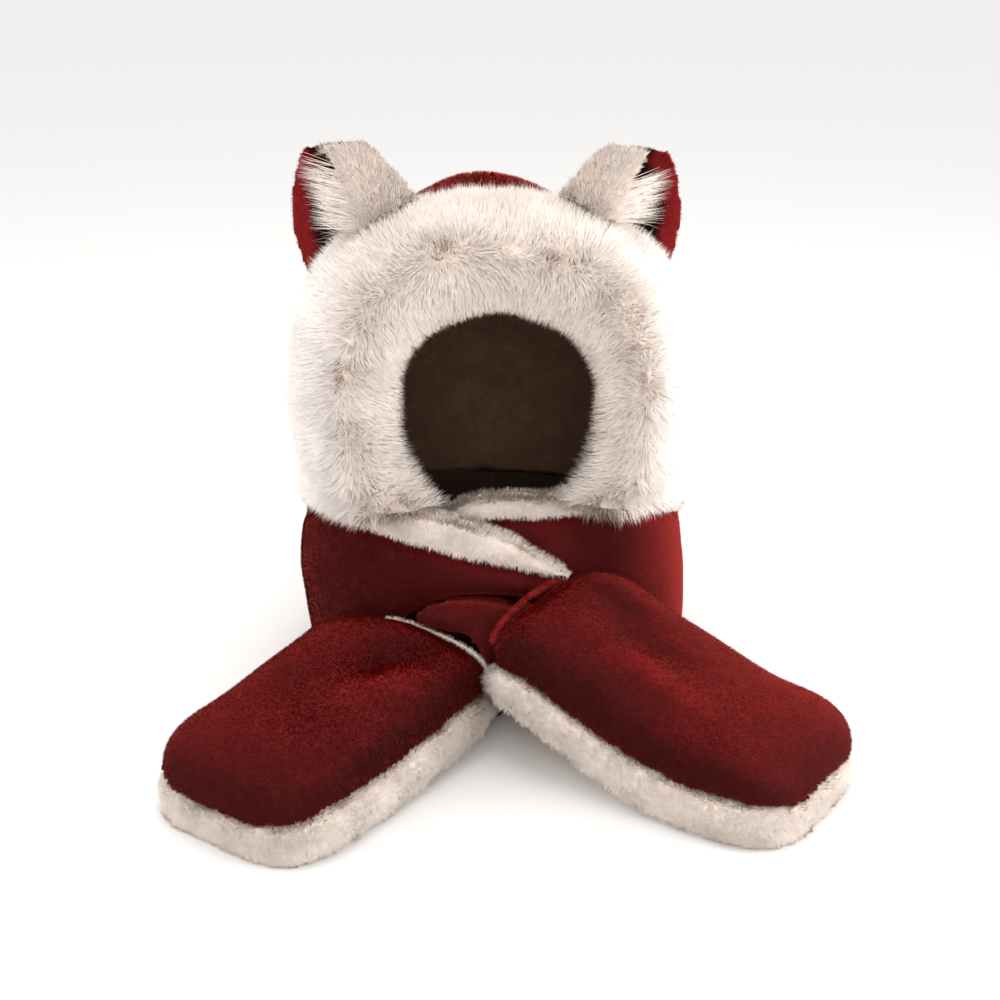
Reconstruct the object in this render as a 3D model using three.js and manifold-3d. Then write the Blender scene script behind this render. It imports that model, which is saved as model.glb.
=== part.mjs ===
import * as THREE from "three";
import { mergeVertices } from "three/addons/utils/BufferGeometryUtils.js";
import Module from "manifold-3d";

// A plush hood with animal ears, whose neck panels cross in front and end in two hand pockets.
// It stands on a table, with its pockets laid out in front. Lengths are in millimetres, +Z is up,
// and the face looks along -Y. Left and right are those of someone who looks at the face.

// Clearances
const fitGap = 0.5;

// Neck: the two panels lie round an ellipse
const neckHalfWidth = 150;
const neckHalfDepth = 115;
const neckHeight = 117;
const panelThickness = 24;
const panelBulge = 4;
const trimHeight = 20;
const trimGrip = 7;

// Hood
const crownHeight = 254;
const crownHalfWidth = 122;
const crownReach = 128;
const crownThickness = 13;
const crownOffset = -7;
const liningThickness = 2.5;

// Fur ruff round the face
const ruffDepth = 118;
const ruffHalfWidth = 147;
const ruffRise = 137;
const ruffCentre = 231;
const crestHalfWidth = 108;
const crestRise = 114;
const faceHalfWidth = 69;
const faceRise = 61;
const faceDrop = 88;
const faceOffset = 3;
const lockHeight = 3;

// Ears
const earReach = 141;
const earHeight = 104;
const earFurThickness = 13;
const earBackThickness = 8;
const earDroop = 3;
const earMiddle = -5;

// Pockets
const pocketHalfWidth = 76;
const padThickness = 32;
const padFloor = 16;
const domeHeight = 42;
const domeThickness = 11;
const bindingRadius = 1.9;
const leftPocketLength = 212;
const leftPocketLift = 10;
const leftTipAside = 179;
const leftTipAhead = 294;
const rightPocketLength = 224;
const rightPocketLift = 45;
const rightTipAside = 221;
const rightTipAhead = 258;
const wayInLength = 60;

// Tails, which carry the panels on to the pockets
const tailHalfWidth = 52;
const tailHeight = 88;

const wasm = await Module();
wasm.setup();

const point = (x, y, z) => new THREE.Vector3(x, y, z);
const radians = THREE.MathUtils.degToRad;
const mix = THREE.MathUtils.lerp;

// A closed geometry as a solid that can be cut and joined.
function solidOf(geometry) {
  const bare = new THREE.BufferGeometry();
  bare.setAttribute("position", geometry.getAttribute("position"));
  bare.setIndex(geometry.getIndex());
  const merged = mergeVertices(bare, 1e-4);
  return new wasm.Manifold(
    new wasm.Mesh({
      numProp: 3,
      vertProperties: new Float32Array(merged.getAttribute("position").array),
      triVerts: new Uint32Array(merged.getIndex().array),
    }),
  );
}

// The geometry of a solid.
function geometryOf(solid) {
  const mesh = solid.getMesh();
  const geometry = new THREE.BufferGeometry();
  geometry.setAttribute("position", new THREE.BufferAttribute(mesh.vertProperties, 3));
  geometry.setIndex(new THREE.BufferAttribute(mesh.triVerts, 1));
  return geometry;
}

// The biggest body of a solid, without the crumbs that a cut leaves.
function mainBody(solid) {
  const bodies = solid.decompose();
  return bodies.reduce((best, body) => (body.volume() > best.volume() ? body : best));
}

// The triangles of a cap over a loop of points, in the loop's own direction. They climb like the
// rungs of a ladder from the loop's two ends to its middle.
function capTriangles(count) {
  const triangles = [];
  for (let low = 0, high = count - 1; high - low > 1; low++, high--) {
    triangles.push([low, low + 1, high]);
    if (high - low > 2) triangles.push([low + 1, high - 1, high]);
  }
  return triangles;
}

// A closed skin over a row of loops with equally many points. Unless the row is joined end to end,
// each end gets a flat cap.
function skin(loops, joined = false) {
  const count = loops[0].length;
  const rows = loops.length;
  const at = (row, i) => (row % rows) * count + (i % count);
  const index = [];
  for (let row = 0; row < (joined ? rows : rows - 1); row++) {
    for (let i = 0; i < count; i++) {
      index.push(at(row, i), at(row, i + 1), at(row + 1, i + 1));
      index.push(at(row, i), at(row + 1, i + 1), at(row + 1, i));
    }
  }
  if (!joined) {
    const last = rows - 1;
    capTriangles(count).forEach(([a, b, c]) => {
      index.push(at(0, a), at(0, c), at(0, b));
      index.push(at(last, a), at(last, b), at(last, c));
    });
  }
  const points = loops.flat();
  let volume = 0;
  for (let i = 0; i < index.length; i += 3) {
    const [a, b, c] = [points[index[i]], points[index[i + 1]], points[index[i + 2]]];
    volume += a.dot(b.clone().cross(c));
  }
  if (volume < 0) index.reverse();
  const geometry = new THREE.BufferGeometry().setFromPoints(points);
  geometry.setIndex(index);
  return geometry;
}

// One column of a table at a place between its rows, on a smooth curve through them.
function read(table, key, column, place) {
  const last = table.length - 1;
  let row = 0;
  while (row < last - 1 && place > table[row + 1][key]) row++;
  const slope = (k) => {
    const before = table[Math.max(k - 1, 0)];
    const after = table[Math.min(k + 1, last)];
    return (after[column] - before[column]) / (after[key] - before[key]);
  };
  const [low, high] = [table[row], table[row + 1]];
  const span = high[key] - low[key];
  const t = THREE.MathUtils.clamp((place - low[key]) / span, 0, 1);
  return (
    (2 * t ** 3 - 3 * t ** 2 + 1) * low[column] +
    (t ** 3 - 2 * t ** 2 + t) * span * slope(row) +
    (3 * t ** 2 - 2 * t ** 3) * high[column] +
    (t ** 3 - t ** 2) * span * slope(row + 1)
  );
}

// Even steps from one value to another, both included.
const steps = (from, to, count) =>
  Array.from({ length: count + 1 }, (_, i) => mix(from, to, i / count));

// NECK PANELS
// Angles go round the neck from the right: 0 right, -90 front, -180 left, -270 back.
// Heights are shares of neckHeight, trim is a share of trimHeight, and sunk is a share of the depth
// by which one panel lies under the other.
const rightPanelRows = [
  { angle: -126, bottom: 0, top: 0.98, trim: 0.6, sunk: 1 },
  { angle: -112, bottom: 0, top: 1.04, trim: 0.9, sunk: 1 },
  { angle: -100, bottom: 0, top: 1.15, trim: 0.95, sunk: 1 },
  { angle: -85, bottom: 0, top: 1.18, trim: 0.95, sunk: 1 },
  { angle: -70, bottom: 0, top: 1.16, trim: 0.95, sunk: 1 },
  { angle: -58, bottom: 0, top: 1.17, trim: 0.95, sunk: 1 },
  { angle: -45, bottom: 0, top: 1.18, trim: 0.95, sunk: 0.35 },
  { angle: -32, bottom: 0, top: 1.13, trim: 0.85, sunk: 0 },
  { angle: -18, bottom: 0, top: 1.06, trim: 0.55, sunk: 0 },
  { angle: -4, bottom: 0, top: 1, trim: 0.25, sunk: 0 },
  { angle: 90, bottom: 0, top: 1, trim: 0, sunk: 0 },
];
const leftPanelRows = [
  { angle: -270, bottom: 0, top: 1, trim: 0, sunk: 0 },
  { angle: -176, bottom: 0, top: 1, trim: 0.25, sunk: 0 },
  { angle: -162, bottom: 0, top: 1.1, trim: 0.6, sunk: 0 },
  { angle: -150, bottom: 0, top: 1.14, trim: 0.85, sunk: 0 },
  { angle: -138, bottom: 0.08, top: 1.13, trim: 1, sunk: 0 },
  { angle: -126, bottom: 0.34, top: 1.1, trim: 1.1, sunk: 0 },
  { angle: -116, bottom: 0.6, top: 1.07, trim: 1.3, sunk: 0 },
  { angle: -105, bottom: 0.71, top: 1.03, trim: 1.4, sunk: 0 },
  { angle: -95, bottom: 0.74, top: 0.98, trim: 1.4, sunk: 0 },
  { angle: -85, bottom: 0.73, top: 0.94, trim: 1.2, sunk: 0 },
  { angle: -76, bottom: 0.71, top: 0.88, trim: 0.8, sunk: 0 },
  { angle: -66, bottom: 0.69, top: 0.82, trim: 0.4, sunk: 0 },
];
const trimEnds = { right: [-126, -6], left: [-174, -66] };
const panelStep = 6;
const panelEnds = { right: [-126, 90], left: [-270, -66] };

const neckPoint = (angle, inward, z) =>
  point(
    (neckHalfWidth - inward) * Math.cos(radians(angle)),
    (neckHalfDepth - inward) * Math.sin(radians(angle)),
    z,
  );

const sunkDepth = (rows, angle) =>
  read(rows, "angle", "sunk", angle) * (panelThickness + 2 * fitGap);
const panelTop = (rows, angle) => read(rows, "angle", "top", angle) * neckHeight;
const trimTop = (rows, angle) =>
  panelTop(rows, angle) + fitGap + read(rows, "angle", "trim", angle) * trimHeight;

// One upright section of a panel, with rounded edges and a soft swell between them. It may be grown
// on all sides, to cut what lies against it.
function panelLoop(rows, angle, grow = 0) {
  const outer = sunkDepth(rows, angle) - grow;
  const inner = outer + panelThickness + 2 * grow;
  const low = Math.max(0, read(rows, "angle", "bottom", angle) * neckHeight) - grow;
  const high = panelTop(rows, angle) + grow;
  const round = Math.min(panelThickness / 4, (high - low) / 4);
  const swell = panelBulge * Math.min(1, (high - low) / neckHeight);
  return [
    neckPoint(angle, outer + round, low),
    neckPoint(angle, outer + round / 5, low + round),
    neckPoint(angle, outer - swell * 0.8 * (1 - sunkShare(rows, angle)), mix(low, high, 0.3)),
    neckPoint(angle, outer - swell * (1 - sunkShare(rows, angle)), mix(low, high, 0.62)),
    neckPoint(angle, outer + round / 5, high - round),
    neckPoint(angle, outer + round, high),
    neckPoint(angle, inner - round, high),
    neckPoint(angle, inner - round / 5, high - round),
    neckPoint(angle, inner, mix(low, high, 0.5)),
    neckPoint(angle, inner - round / 5, low + round),
    neckPoint(angle, inner - round, low),
  ];
}

const sunkShare = (rows, angle) => read(rows, "angle", "sunk", angle);

// The fur edge that is rolled over the top of a panel.
function trimLoop(rows, angle) {
  const outer = sunkDepth(rows, angle);
  const low = panelTop(rows, angle) + 1.5 * fitGap;
  const high = trimTop(rows, angle);
  const round = Math.min(trimGrip, (high - low) / 2.2);
  return [
    neckPoint(angle, outer + 1, low),
    neckPoint(angle, outer, mix(low, high, 0.5)),
    neckPoint(angle, outer + round / 3, high - round / 2),
    neckPoint(angle, outer + round, high),
    neckPoint(angle, outer + panelThickness - round, high),
    neckPoint(angle, outer + panelThickness - round / 3, high - round / 2),
    neckPoint(angle, outer + panelThickness, mix(low, high, 0.5)),
    neckPoint(angle, outer + panelThickness - 1, low),
  ];
}

// Sections at even angles, with a narrow seam at the back where the two panels meet.
function roundTheNeck(loop, rows, [from, to], grow) {
  const angles = steps(from, to, (to - from) / panelStep);
  const inBounds = (a) => THREE.MathUtils.clamp(a, -270 + seamAngle, 90 - seamAngle);
  return skin(angles.map((a) => loop(rows, inBounds(a), grow)));
}

const seamAngle = 0.15;

// The passage for the wearer's neck, which goes on up between the ruff's ends.
const passageShare = 0.72;
const passageHeight = 161;

// The space that the neck fills, up to the top of its trims, which the ruff stays out of.
function neckKeepOut() {
  const angles = steps(-270, 90, 360 / panelStep).slice(0, -1);
  const floor = -10;
  const height = (angle) => {
    const tops = [neckHeight];
    if (angle > trimEnds.right[0]) tops.push(trimTop(rightPanelRows, angle));
    if (angle < trimEnds.left[1]) tops.push(trimTop(leftPanelRows, angle));
    return Math.max(...tops) + 3 * fitGap;
  };
  const ring = (share, z) =>
    angles.map((a) =>
      point(
        share * neckHalfWidth * Math.cos(radians(a)),
        share * neckHalfDepth * Math.sin(radians(a)),
        z(a),
      ),
    );
  const shares = steps(1.3, passageShare + 0.02, 7);
  const passageTop = () => passageHeight;
  return skin([
    ring(shares[0], () => floor),
    ...shares.map((share) => ring(share, height)),
    ring(passageShare, passageTop),
    ring(0.1, passageTop),
  ]);
}

// The space that the two panels fill, which the tails and the pockets stay out of. It ends where
// the panels cross over the tails.
function neckColumn() {
  const grow = 1 + (panelBulge + fitGap) / neckHalfDepth;
  const ring = (z) =>
    steps(-270, 90, 60)
      .slice(0, -1)
      .map((a) =>
        point(
          (neckHalfWidth + panelBulge + fitGap) * Math.cos(radians(a)),
          neckHalfDepth * grow * Math.sin(radians(a)),
          z,
        ),
      );
  return skin([ring(-10), ring(2 * neckHeight)]);
}

// HOOD CROWN
// Level sections from the nape to the top. Rise is a share of crownHeight above the neck, width of
// crownHalfWidth, and front and back of crownReach behind the ruff.
const crownRows = [
  { rise: 0, width: 1.12, front: -0.72, back: 0.87 },
  { rise: 0.16, width: 1.05, front: -0.78, back: 0.92 },
  { rise: 0.33, width: 1, front: -0.8, back: 0.98 },
  { rise: 0.5, width: 0.95, front: -0.74, back: 1 },
  { rise: 0.62, width: 0.92, front: -0.66, back: 0.97 },
  { rise: 0.73, width: 0.85, front: -0.56, back: 0.9 },
  { rise: 0.82, width: 0.75, front: -0.42, back: 0.8 },
  { rise: 0.89, width: 0.61, front: -0.27, back: 0.68 },
  { rise: 0.94, width: 0.41, front: -0.08, back: 0.56 },
  { rise: 0.975, width: 0.26, front: 0.08, back: 0.45 },
  { rise: 1, width: 0.07, front: 0.23, back: 0.31 },
];
const crownSides = 28;

// A dome that stays a set distance inside the crown's outer surface. With a drop it starts lower.
function dome(inset, drop) {
  const base = neckHeight + fitGap;
  const loopAt = (rise, z) => {
    const shrink = (value) => Math.max(value - inset, value * 0.2);
    const halfWidth = shrink(read(crownRows, "rise", "width", rise) * crownHalfWidth);
    const front = read(crownRows, "rise", "front", rise) * crownReach;
    const back = read(crownRows, "rise", "back", rise) * crownReach;
    const halfDepth = shrink((back - front) / 2);
    return steps(0, 360, crownSides)
      .slice(0, -1)
      .map((a) =>
        point(
          crownOffset + halfWidth * Math.cos(radians(a)),
          (front + back) / 2 + halfDepth * Math.sin(radians(a)),
          z,
        ),
      );
  };
  const loops = crownRows.map(({ rise }) => {
    const z = base + rise * crownHeight;
    return loopAt(rise, rise > 0.5 ? z - inset * (rise - 0.5) * 2 : z);
  });
  if (drop > 0) loops.unshift(loopAt(0, base - drop));
  return solidOf(skin(loops));
}

// A slab that takes away all that lies in front of a plane across the hood.
function frontOf(y) {
  const size = 1000;
  const slab = new THREE.BoxGeometry(size, size, size);
  slab.translate(0, y - size / 2, 0);
  return solidOf(slab);
}

function crownShell() {
  const hollow = dome(crownThickness, crownThickness);
  return mainBody(dome(0, 0).subtract(hollow).subtract(frontOf(fitGap)));
}

function liningShell() {
  const outer = crownThickness + fitGap;
  const hollow = dome(outer + liningThickness, crownThickness);
  return mainBody(dome(outer, 0).subtract(hollow).subtract(frontOf(fitGap)));
}

// FACE RUFF
// The ruff's section. Reach goes from the face opening (0) over the crest (1) to the outside (2),
// and depth is a share of ruffDepth, back from the crest (1) to the crown (0). The long fur lies in
// locks, with grooves between them: ahead and aside are shares of lockHeight by which a groove is
// lower than a lock, seen from the front and from the side.
const ruffRows = [
  { reach: 0, depth: 0.68, ahead: 0, aside: 0 },
  { reach: 0.1, depth: 0.81, ahead: 0.4, aside: 0 },
  { reach: 0.5, depth: 0.94, ahead: 0.8, aside: 0 },
  { reach: 1, depth: 1, ahead: 1, aside: 0 },
  { reach: 1.45, depth: 0.91, ahead: 0.9, aside: 0.4 },
  { reach: 1.82, depth: 0.72, ahead: 0.5, aside: 0.8 },
  { reach: 2, depth: 0.46, ahead: 0, aside: 1 },
  { reach: 1.95, depth: 0.24, ahead: 0, aside: 0.6 },
  { reach: 1.78, depth: 0.1, ahead: 0, aside: 0.2 },
  { reach: 1.5, depth: 0, ahead: 0, aside: 0 },
  { reach: 0.9, depth: 0, ahead: 0, aside: 0 },
  { reach: 0.82, depth: 0.25, ahead: 0, aside: 0 },
  { reach: 0.45, depth: 0.48, ahead: 0, aside: 0 },
  { reach: 0.1, depth: 0.58, ahead: 0, aside: 0 },
];
const lockCount = 30;

// A point on a rounded outline: an ellipse whose corners are pushed out as its power grows.
function outline(angle, centre, halfWidth, rise, drop, [powerAbove, powerBelow]) {
  const c = Math.cos(radians(angle));
  const s = Math.sin(radians(angle));
  const squared = 2 / (s > 0 ? powerAbove : powerBelow);
  return {
    x: centre + halfWidth * Math.sign(c) * Math.abs(c) ** squared,
    z: ruffCentre + (s > 0 ? rise : drop) * Math.sign(s) * Math.abs(s) ** squared,
  };
}

function ruffLoop(angle) {
  const face = outline(angle, faceOffset, faceHalfWidth, faceRise, faceDrop, [2.2, 2.2]);
  const crest = outline(angle, 0, crestHalfWidth, crestRise, crestRise, [2.2, 2.4]);
  const outside = outline(angle, 0, ruffHalfWidth, ruffRise, ruffRise, [2.45, 2.9]);
  const groove = (lockHeight * (1 - Math.cos(radians(angle * lockCount)))) / 2;
  const inwards = point(-Math.cos(radians(angle)), 0, -Math.sin(radians(angle)));
  return ruffRows.map(({ reach, depth, ahead, aside }) => {
    const [near, far, share] = reach < 1 ? [face, crest, reach] : [crest, outside, reach - 1];
    const y = ahead * groove - depth * ruffDepth;
    const place = point(mix(near.x, far.x, share), y, mix(near.z, far.z, share));
    return place.addScaledVector(inwards, aside * groove);
  });
}

function ruffSolid(grow = 0) {
  const angles = steps(0, 360, 2 * lockCount).slice(0, -1);
  const ring = skin(angles.map(ruffLoop), true);
  if (grow) swell(ring, grow);
  return solidOf(ring);
}

// Moves every vertex of a geometry outwards along its normal.
function swell(geometry, distance) {
  geometry.computeVertexNormals();
  const places = geometry.getAttribute("position");
  const normals = geometry.getAttribute("normal");
  for (let i = 0; i < places.count; i++) {
    places.setXYZ(
      i,
      places.getX(i) + distance * normals.getX(i),
      places.getY(i) + distance * normals.getY(i),
      places.getZ(i) + distance * normals.getZ(i),
    );
  }
  geometry.deleteAttribute("normal");
}

// EARS
// Each ear is a cup that opens outwards: a fur leaf in front and a plush leaf behind, which meet at
// the inner edge. Rise is a share of earHeight above the ear's foot, out a share of earReach from
// the hood's middle, and depth a share of ruffDepth in front of the crown.
const earFoot = 303;
const earRimRows = [
  { rise: 0, frontOut: 0.75, frontDepth: 0.5, backOut: 0.9, backDepth: 0.36 },
  { rise: 0.2, frontOut: 0.66, frontDepth: 0.56, backOut: 0.965, backDepth: 0.27 },
  { rise: 0.42, frontOut: 0.645, frontDepth: 0.56, backOut: 1, backDepth: 0.22 },
  { rise: 0.62, frontOut: 0.685, frontDepth: 0.5, backOut: 0.99, backDepth: 0.21 },
  { rise: 0.8, frontOut: 0.76, frontDepth: 0.41, backOut: 0.96, backDepth: 0.235 },
  { rise: 0.92, frontOut: 0.825, frontDepth: 0.345, backOut: 0.92, backDepth: 0.265 },
];
// Where the two leaves meet, level by level.
const earFoldRows = [
  { rise: 0, out: 0.25, foldRise: 0.5, depth: 0.36 },
  { rise: 0.2, out: 0.33, foldRise: 0.6, depth: 0.34 },
  { rise: 0.42, out: 0.42, foldRise: 0.74, depth: 0.32 },
  { rise: 0.62, out: 0.49, foldRise: 0.85, depth: 0.3 },
  { rise: 0.8, out: 0.545, foldRise: 0.93, depth: 0.29 },
  { rise: 0.92, out: 0.6, foldRise: 0.98, depth: 0.285 },
];
const foldShare = 0.34;
const earLevels = 9;
const earAcross = 6;
const earBow = 16;

// The corners of the ear at one level: its free front rim, its inner fold and its free back rim.
function earCorners(level, side) {
  const rim = (column) => read(earRimRows, "rise", column, level);
  const fold = (column) => read(earFoldRows, "rise", column, level);
  const height = side < 0 ? earHeight : earHeight - earDroop;
  const place = (out, depth, rise) =>
    point(earMiddle + side * out * earReach, -depth * ruffDepth, earFoot + rise * height);
  return {
    rim: place(rim("frontOut"), rim("frontDepth"), level),
    fold: place(fold("out"), fold("depth"), fold("foldRise")),
    back: place(rim("backOut"), rim("backDepth"), level),
  };
}

// A thick leaf between two corners, bowed by a length and rounded at its free edge.
function leafLoop(from, to, bow, front, behind) {
  const middle = from.clone().add(to).multiplyScalar(0.5).add(bow);
  const curve = new THREE.QuadraticBezierCurve3(from, middle, to);
  const share = steps(0, 1, earAcross);
  const taper = (t) => Math.min(1, 0.35 + 3 * Math.min(t + 0.1, 1 - t));
  const face = share.map((t) => curve.getPoint(t).add(point(0, -front * taper(t), 0)));
  const rear = share.map((t) => curve.getPoint(t).add(point(0, behind * taper(t), 0)));
  return [...face, ...rear.reverse()];
}

const earTop = 0.92;

// How far the leaves bow apart at a level. They close towards the top.
const earSpread = (level) => earBow * (1 - 0.75 * (level / earTop) ** 3);

function earFront(side, ruff) {
  const loops = steps(0, earTop, earLevels).map((level) => {
    const { rim, fold } = earCorners(level, side);
    const thickness = earFurThickness * (1 - 0.45 * (level / earTop) ** 3);
    return leafLoop(fold, rim, point(0, -earSpread(level), 4), thickness / 2, thickness / 2);
  });
  return mainBody(solidOf(skin(loops)).subtract(ruff));
}

function earBack(side, ruff) {
  const loops = steps(0, earTop, earLevels).map((level) => {
    const { fold, back } = earCorners(level, side);
    const shift = point(0, foldShare * (earFurThickness + earBackThickness) + fitGap, 0);
    return leafLoop(
      fold.clone().add(shift),
      back.clone().add(shift.clone().multiplyScalar(0.6)),
      point(0, earSpread(level), 3),
      earBackThickness / 2,
      earBackThickness / 2,
    );
  });
  return mainBody(solidOf(skin(loops)).subtract(ruff));
}

// POCKETS
// Each pocket lies on the table. Its tip is a point there, and heading is the angle of its axis
// from the front, positive to the right. The pad is the fur side below and the dome is plush above.
const pockets = {
  left: {
    tip: point(-leftTipAside, -leftTipAhead, 0),
    heading: -35,
    lift: leftPocketLift,
    length: leftPocketLength,
    inner: -0.13,
  },
  right: {
    tip: point(rightTipAside, -rightTipAhead, 0),
    heading: 55,
    lift: rightPocketLift,
    length: rightPocketLength,
    inner: -0.07,
  },
};
// Along is a share of the length from the mouth to the tip, width a share of pocketHalfWidth,
// edge of padThickness and crown of domeHeight. Lift is a share of the pocket's own lift.
const pocketRows = [
  { along: -0.07, width: 0.84, edge: 0.5, crown: 0.6, lift: 1.04 },
  { along: 0, width: 0.94, edge: 0.84, crown: 0.82, lift: 1 },
  { along: 0.12, width: 1, edge: 1, crown: 1, lift: 0.86 },
  { along: 0.3, width: 1, edge: 1, crown: 1.06, lift: 0.5 },
  { along: 0.5, width: 1, edge: 1, crown: 1, lift: 0.15 },
  { along: 0.68, width: 0.99, edge: 1, crown: 0.88, lift: 0.01 },
  { along: 0.82, width: 0.97, edge: 0.98, crown: 0.76, lift: 0 },
  { along: 0.91, width: 0.89, edge: 0.93, crown: 0.62, lift: 0 },
  { along: 0.97, width: 0.73, edge: 0.86, crown: 0.42, lift: 0 },
  { along: 1, width: 0.47, edge: 0.75, crown: 0.18, lift: 0 },
];
// Soft dents and folds in the plush. Across is a share of pocketHalfWidth, the spreads are shares
// of the same lengths as the places, and depth is in millimetres.
const pocketDents = {
  left: [
    { along: 0.29, across: 0.22, spreadAlong: 0.1, spreadAcross: 0.22, depth: 7 },
    { along: 0.17, across: 0.44, spreadAlong: 0.1, spreadAcross: 0.22, depth: 6 },
    { along: 0.44, across: 0.38, spreadAlong: 0.11, spreadAcross: 0.2, depth: -3 },
    { along: 0.31, across: 0.58, spreadAlong: 0.1, spreadAcross: 0.2, depth: -4 },
    { along: 0.52, across: -0.2, spreadAlong: 0.14, spreadAcross: 0.26, depth: 3 },
  ],
  right: [
    { along: 0.22, across: 0.22, spreadAlong: 0.13, spreadAcross: 0.22, depth: 7 },
    { along: 0.39, across: -0.04, spreadAlong: 0.12, spreadAcross: 0.2, depth: 6 },
    { along: 0.42, across: -0.32, spreadAlong: 0.1, spreadAcross: 0.18, depth: -4 },
    { along: 0.58, across: -0.4, spreadAlong: 0.12, spreadAcross: 0.18, depth: -3 },
  ],
};
const padAlong = 17;

const pocketAhead = (side) => {
  const heading = radians(pockets[side].heading);
  return point(Math.sin(heading), -Math.cos(heading), 0);
};

// A place in a pocket: a share of its length from the mouth, across it to the right, and above its
// floor.
function pocketPoint(side, share, across, height) {
  const { tip, heading, lift, length } = pockets[side];
  const right = point(Math.cos(radians(heading)), Math.sin(radians(heading)), 0);
  const floor = lift * Math.max(0, read(pocketRows, "along", "lift", share));
  return tip
    .clone()
    .addScaledVector(pocketAhead(side), (share - 1) * length)
    .addScaledVector(right, across)
    .add(point(0, 0, floor + height));
}

const pocketColumn = (name, share) => read(pocketRows, "along", name, share);

// The pad's section: flat below, full at both edges and low between them, where the hand goes.
function padLoop(side, share) {
  const half = pocketColumn("width", share) * pocketHalfWidth;
  const edge = pocketColumn("edge", share) * padThickness;
  const narrow = THREE.MathUtils.clamp(half / pocketHalfWidth, 0, 1);
  const low = Math.min(edge, mix(edge, padFloor, narrow ** 4));
  const rows = [
    [-0.93, 0],
    [-1, 0.3 * edge],
    [-1, 0.65 * edge],
    [-0.92, edge],
    [-0.72, edge],
    [-0.66, low],
    [0, low],
    [0.66, low],
    [0.72, edge],
    [0.92, edge],
    [1, 0.65 * edge],
    [1, 0.3 * edge],
    [0.93, 0],
    [0, 0],
  ];
  return rows.map(([across, height]) =>
    pocketPoint(side, share, across * half, height),
  );
}

function pocketPad(side, keepOut) {
  const shares = pocketShares(pockets[side].inner, 1, padAlong);
  const loops = shares.map((share) => padLoop(side, share));
  return mainBody(solidOf(skin(loops)).subtract(keepOut));
}

const domeAcross = 12;
const domeAlong = 17;

// Places along a pocket, closer together towards its tip.
const pocketShares = (from, to, count) =>
  steps(0, 1, count).map((t) => mix(from, to, Math.sin(radians(90 * t)) * 0.8 + 0.2 * t));
const domeFoot = 0.95;

function dentDepth(side, share, across) {
  return pocketDents[side].reduce((sum, dent) => {
    const a = (share - dent.along) / dent.spreadAlong;
    const b = (across - dent.across) / dent.spreadAcross;
    return sum + dent.depth * Math.exp(-(a * a + b * b));
  }, 0);
}

// The dome's section over the pad: an arch that rises steeply from its feet. Inset makes the space
// inside the arch, and skirt lengthens its feet downwards.
function domeLoop(side, share, inset, skirt) {
  const half = pocketColumn("width", share) * pocketHalfWidth * domeFoot - inset;
  const rise = pocketColumn("crown", share) * domeHeight;
  const foot = pocketColumn("edge", share) * padThickness + 1.5 * fitGap;
  const arch = steps(0, 180, domeAcross).map((a) => {
    const across = -Math.cos(radians(a));
    const lift = Math.sin(radians(a)) ** 0.55;
    const dent = dentDepth(side, share, across) * lift;
    return [across * half, foot + Math.max(1.5, (rise - dent - inset) * lift)];
  });
  const low = foot - skirt;
  arch[0][1] = skirt ? arch[0][1] : foot;
  arch.at(-1)[1] = arch[0][1];
  const loop = skirt ? [[-half, low], ...arch, [half, low]] : arch;
  return loop.map(([across, height]) =>
    pocketPoint(side, share, across, height),
  );
}

function pocketDome(side) {
  const outside = skin(
    pocketShares(0, 1, domeAlong).map((share) => domeLoop(side, share, 0, 0)),
  );
  const inside = skin(
    pocketShares(-0.05, 0.93, domeAlong).map((share) =>
      domeLoop(side, share, domeThickness, padThickness / 3),
    ),
  );
  return mainBody(solidOf(outside).subtract(solidOf(inside)));
}

// The space over a pocket and round it, with its binding, which its neighbours stay out of.
function pocketBlock(side) {
  const padShares = pocketShares(pockets[side].inner, 1, padAlong);
  const pad = padShares.map((share) => padOutline(side, share));
  const shell = pocketShares(0, 1, domeAlong).map((share) =>
    domeLoop(side, share, -fitGap - 0.5 * bindingRadius, padThickness / 3),
  );
  const back = pocketAhead(side).multiplyScalar(-2 * bindingRadius - 2 * fitGap);
  shell.unshift(shell[0].map((p) => p.clone().add(back)));
  return solidOf(skin(pad)).add(solidOf(skin(shell)));
}

// The pad's section without its hollow, swollen by the gap.
function padOutline(side, share) {
  const half = pocketColumn("width", share) * pocketHalfWidth + fitGap;
  const top = pocketColumn("edge", share) * padThickness + fitGap;
  return [
    [-half, -fitGap],
    [-half, top],
    [half, top],
    [half, -fitGap],
  ].map(([across, height]) => pocketPoint(side, share, across, height));
}

// The way that a hand takes into a pocket, which starts a length before the mouth.
function wayIn(side, length) {
  const from = -length / pockets[side].length;
  return solidOf(
    skin(
      steps(from, 0.3, 4).map((share) => {
        const half = pocketHalfWidth * 0.68;
        const low = padFloor - (share < 0 ? 0 : fitGap);
        const high = padThickness + domeHeight - domeThickness;
        return [
          [-half, low],
          [-half, high],
          [half, high],
          [half, low],
        ].map(([across, height]) => pocketPoint(side, share, across, height));
      }),
    ),
  );
}

// A round cord along a row of points.
function cord(points, radius, sides, parts) {
  const curve = new THREE.CatmullRomCurve3(points);
  const frames = curve.computeFrenetFrames(parts, false);
  const loops = steps(0, 1, parts).map((t, i) =>
    steps(0, 360, sides)
      .slice(0, -1)
      .map((a) =>
        curve
          .getPointAt(t)
          .addScaledVector(frames.normals[i], radius * Math.cos(radians(a)))
          .addScaledVector(frames.binormals[i], radius * Math.sin(radians(a))),
      ),
  );
  return skin(loops);
}

// The cord that binds the lip of a pocket's mouth.
function pocketBinding(side, keepOut) {
  const inset = bindingRadius * 0.6;
  const rim = domeLoop(side, 0, inset, 0).slice(1, -1);
  const back = pocketAhead(side).multiplyScalar(-bindingRadius - fitGap);
  const points = rim.map((p) => p.add(back));
  return mainBody(solidOf(cord(points, bindingRadius, 7, 18)).subtract(keepOut));
}

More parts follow.
